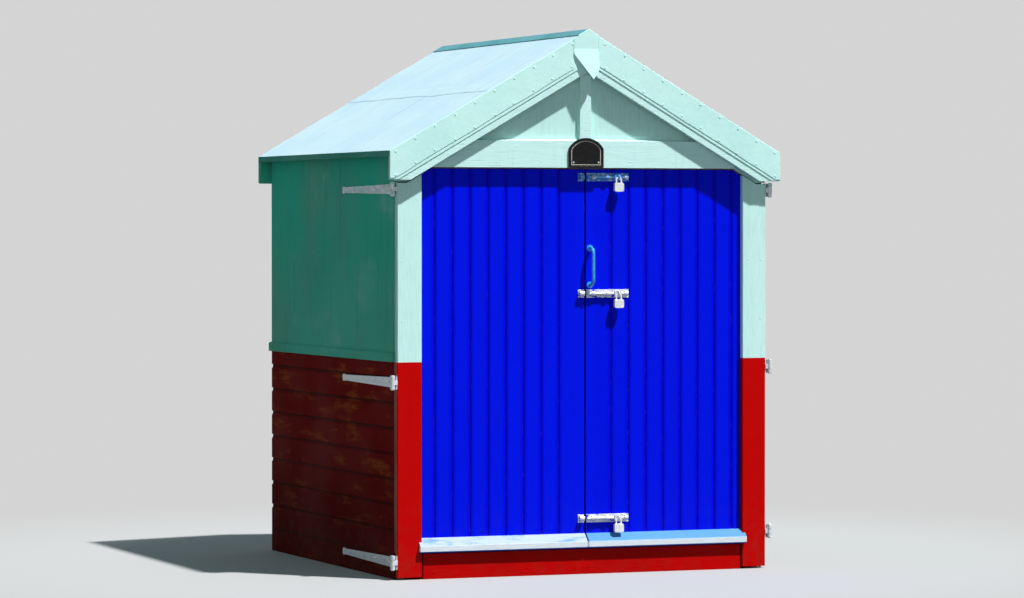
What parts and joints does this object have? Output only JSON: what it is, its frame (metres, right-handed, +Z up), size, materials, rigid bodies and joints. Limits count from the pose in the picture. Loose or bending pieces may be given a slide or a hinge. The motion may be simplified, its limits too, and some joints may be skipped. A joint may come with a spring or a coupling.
{
  "type": "beach hut",
  "caption": "Timber beach hut with a felted gable roof, sheeted and shiplap walls, a raised floor, and boarded double doors on long iron bands at the front corners, with padlocked bolts.",
  "frame": {"origin": "middle of the hut's footprint at ground level, which is also the middle of the bottom of its outer box", "axes": "+Z up, the doors face -Y, +X to the right of a person who faces the doors"},
  "size_m": [1.936, 1.974, 2.504],
  "materials": {
    "red_paint": "weathered red gloss paint on softwood",
    "green_paint": "pale mint paint on timber",
    "blue_paint": "bright blue gloss paint on V-jointed boards",
    "corner_paint": "pale mint paint above, red paint below",
    "pale_blue_paint": "sky blue paint",
    "bare_timber": "sawn softwood, unpainted",
    "floor_timber": "worn softwood boards",
    "roof_felt": "roofing felt painted pale green",
    "plate_enamel": "black enamel, left bare",
    "galvanised_iron": "dull galvanised",
    "lock_steel": "bright steel",
    "handle_paint": "sky blue gloss paint on iron"
  },
  "bodies": {
    "hut": {"threshold_beam": "red_paint", "base_beams": "red_paint", "floor_joists": "bare_timber", "floor_boards": "floor_timber", "wall_posts": "bare_timber", "wall_rails": "bare_timber", "head_beam": "bare_timber", "left_wall_panel": "green_paint", "right_wall_panel": "green_paint", "back_wall_panel": "green_paint", "left_wall_shiplap": "red_paint", "right_wall_shiplap": "red_paint", "back_wall_shiplap": "red_paint", "cover_battens": "green_paint", "front_gable_panel": "green_paint", "gable_returns": "green_paint", "gable_trim": "green_paint", "number_plate": "plate_enamel", "ridge_beam": "bare_timber", "rafters": "bare_timber", "left_roof_boards": "bare_timber", "right_roof_boards": "bare_timber", "left_roof_felt": "roof_felt", "right_roof_felt": "roof_felt", "ridge_strip": "roof_felt", "front_left_bargeboard": "green_paint", "front_right_bargeboard": "green_paint", "back_bargeboards": "green_paint", "left_hinge_bands": "galvanised_iron", "right_hinge_bands": "galvanised_iron"},
    "left_door": {"left_door_boards": "blue_paint", "left_door_ledges": "bare_timber", "left_corner_board": "corner_paint", "left_drip_board": "pale_blue_paint", "left_hinge_plates": "galvanised_iron", "bolt_keepers": "galvanised_iron"},
    "right_door": {"right_door_boards": "blue_paint", "right_door_ledges": "bare_timber", "right_corner_board": "corner_paint", "right_drip_board": "pale_blue_paint", "right_hinge_plates": "galvanised_iron", "pad_bolts": "galvanised_iron", "padlocks": "lock_steel", "pull_handle": "handle_paint"}
  },
  "joints": [
    {"name": "left_door_hinge", "type": "hinge", "parent": "hut", "child": "left_door", "pos_m": [-0.937, -0.915, 0.893], "axis": [0, 0, -1], "range_deg": [0, 255]},
    {"name": "right_door_hinge", "type": "hinge", "parent": "hut", "child": "right_door", "pos_m": [0.937, -0.915, 0.945], "axis": [0, 0, 1], "range_deg": [0, 255]}
  ]
}
